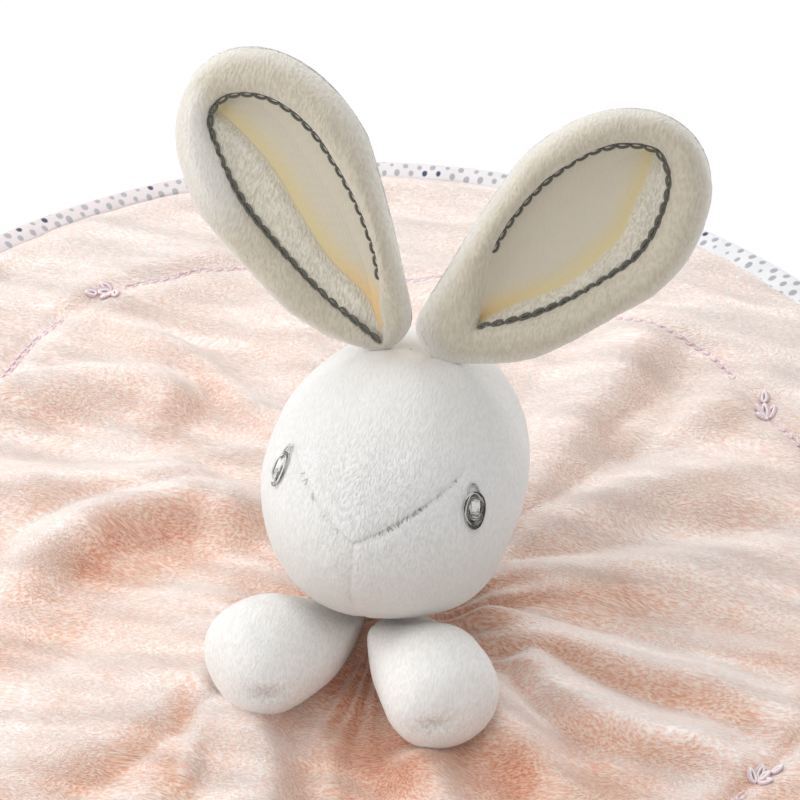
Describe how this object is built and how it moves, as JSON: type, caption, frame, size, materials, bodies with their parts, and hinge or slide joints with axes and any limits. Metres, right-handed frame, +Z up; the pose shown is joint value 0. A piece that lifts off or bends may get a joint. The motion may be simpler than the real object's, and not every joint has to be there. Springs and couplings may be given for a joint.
{
  "type": "comfort blanket",
  "caption": "Round soft comfort blanket gathered under the chin of a stuffed rabbit's head, with upright ears and two short stuffed arms.",
  "frame": {"origin": "middle of the round blanket on the surface it lies on", "axes": "+Z up from the surface, -Y the way the rabbit's face looks, +X the rabbit's own left"},
  "size_m": [0.35, 0.35, 0.1495],
  "materials": {
    "pink_velour": "short-pile velour",
    "dotted_jersey": "fine knit with small dots",
    "white_plush": "short plush pile",
    "cream_jersey": "smooth knit",
    "fibre_fill": "loose polyester fibre",
    "neck_thread": "twisted thread",
    "eye_thread": "satin-stitched thread"
  },
  "bodies": {
    "blanket": {"blanket_back": "dotted_jersey", "blanket_top": "pink_velour", "edge_binding": "dotted_jersey", "neck_thread": "neck_thread"},
    "neck": {"neck_knot": "white_plush"},
    "head": {"head_stuffing": "fibre_fill", "forehead_gusset": "white_plush", "face_left": "white_plush", "face_right": "white_plush", "head_back_left": "white_plush", "head_back_right": "white_plush", "eye_left": "eye_thread", "eye_right": "eye_thread"},
    "ear_left": {"ear_left_outer": "white_plush", "ear_left_lining": "cream_jersey", "ear_left_wadding": "fibre_fill"},
    "ear_right": {"ear_right_outer": "white_plush", "ear_right_lining": "cream_jersey", "ear_right_wadding": "fibre_fill"},
    "arm_left": {"arm_left_cover": "white_plush", "arm_left_stuffing": "fibre_fill"},
    "arm_right": {"arm_right_cover": "white_plush", "arm_right_stuffing": "fibre_fill"}
  },
  "joints": [
    {"name": "head_nod", "type": "hinge", "parent": "blanket", "child": "neck", "pos_m": [0.0163, -0.0274, 0.02167], "axis": [1, 0, 0], "range_deg": [-10, 3], "stiffness_Nm_per_rad": 0.3},
    {"name": "head_turn", "type": "hinge", "parent": "neck", "child": "head", "pos_m": [0.0163, -0.0274, 0.02167], "axis": [0, 0.4226, 0.9063], "range_deg": [-15, 15], "stiffness_Nm_per_rad": 0.2},
    {"name": "ear_left_flop", "type": "hinge", "parent": "head", "child": "ear_left", "pos_m": [0.02528, -0.0008, 0.07871], "axis": [0.9142, 0.1559, -0.374], "range_deg": [-45, 40], "stiffness_Nm_per_rad": 0.08},
    {"name": "ear_right_flop", "type": "hinge", "parent": "head", "child": "ear_right", "pos_m": [0.00732, -0.0008, 0.07871], "axis": [0.9659, 0.08, 0.2461], "range_deg": [-45, 40], "stiffness_Nm_per_rad": 0.08},
    {"name": "arm_left_swing", "type": "hinge", "parent": "blanket", "child": "arm_left", "pos_m": [0.02445, -0.03891, 0.00415], "axis": [0, 0, 1], "range_deg": [-4, 30], "stiffness_Nm_per_rad": 0.05},
    {"name": "arm_right_swing", "type": "hinge", "parent": "blanket", "child": "arm_right", "pos_m": [0.00815, -0.03891, 0.00415], "axis": [0, 0, 1], "range_deg": [-30, 4], "stiffness_Nm_per_rad": 0.05}
  ]
}
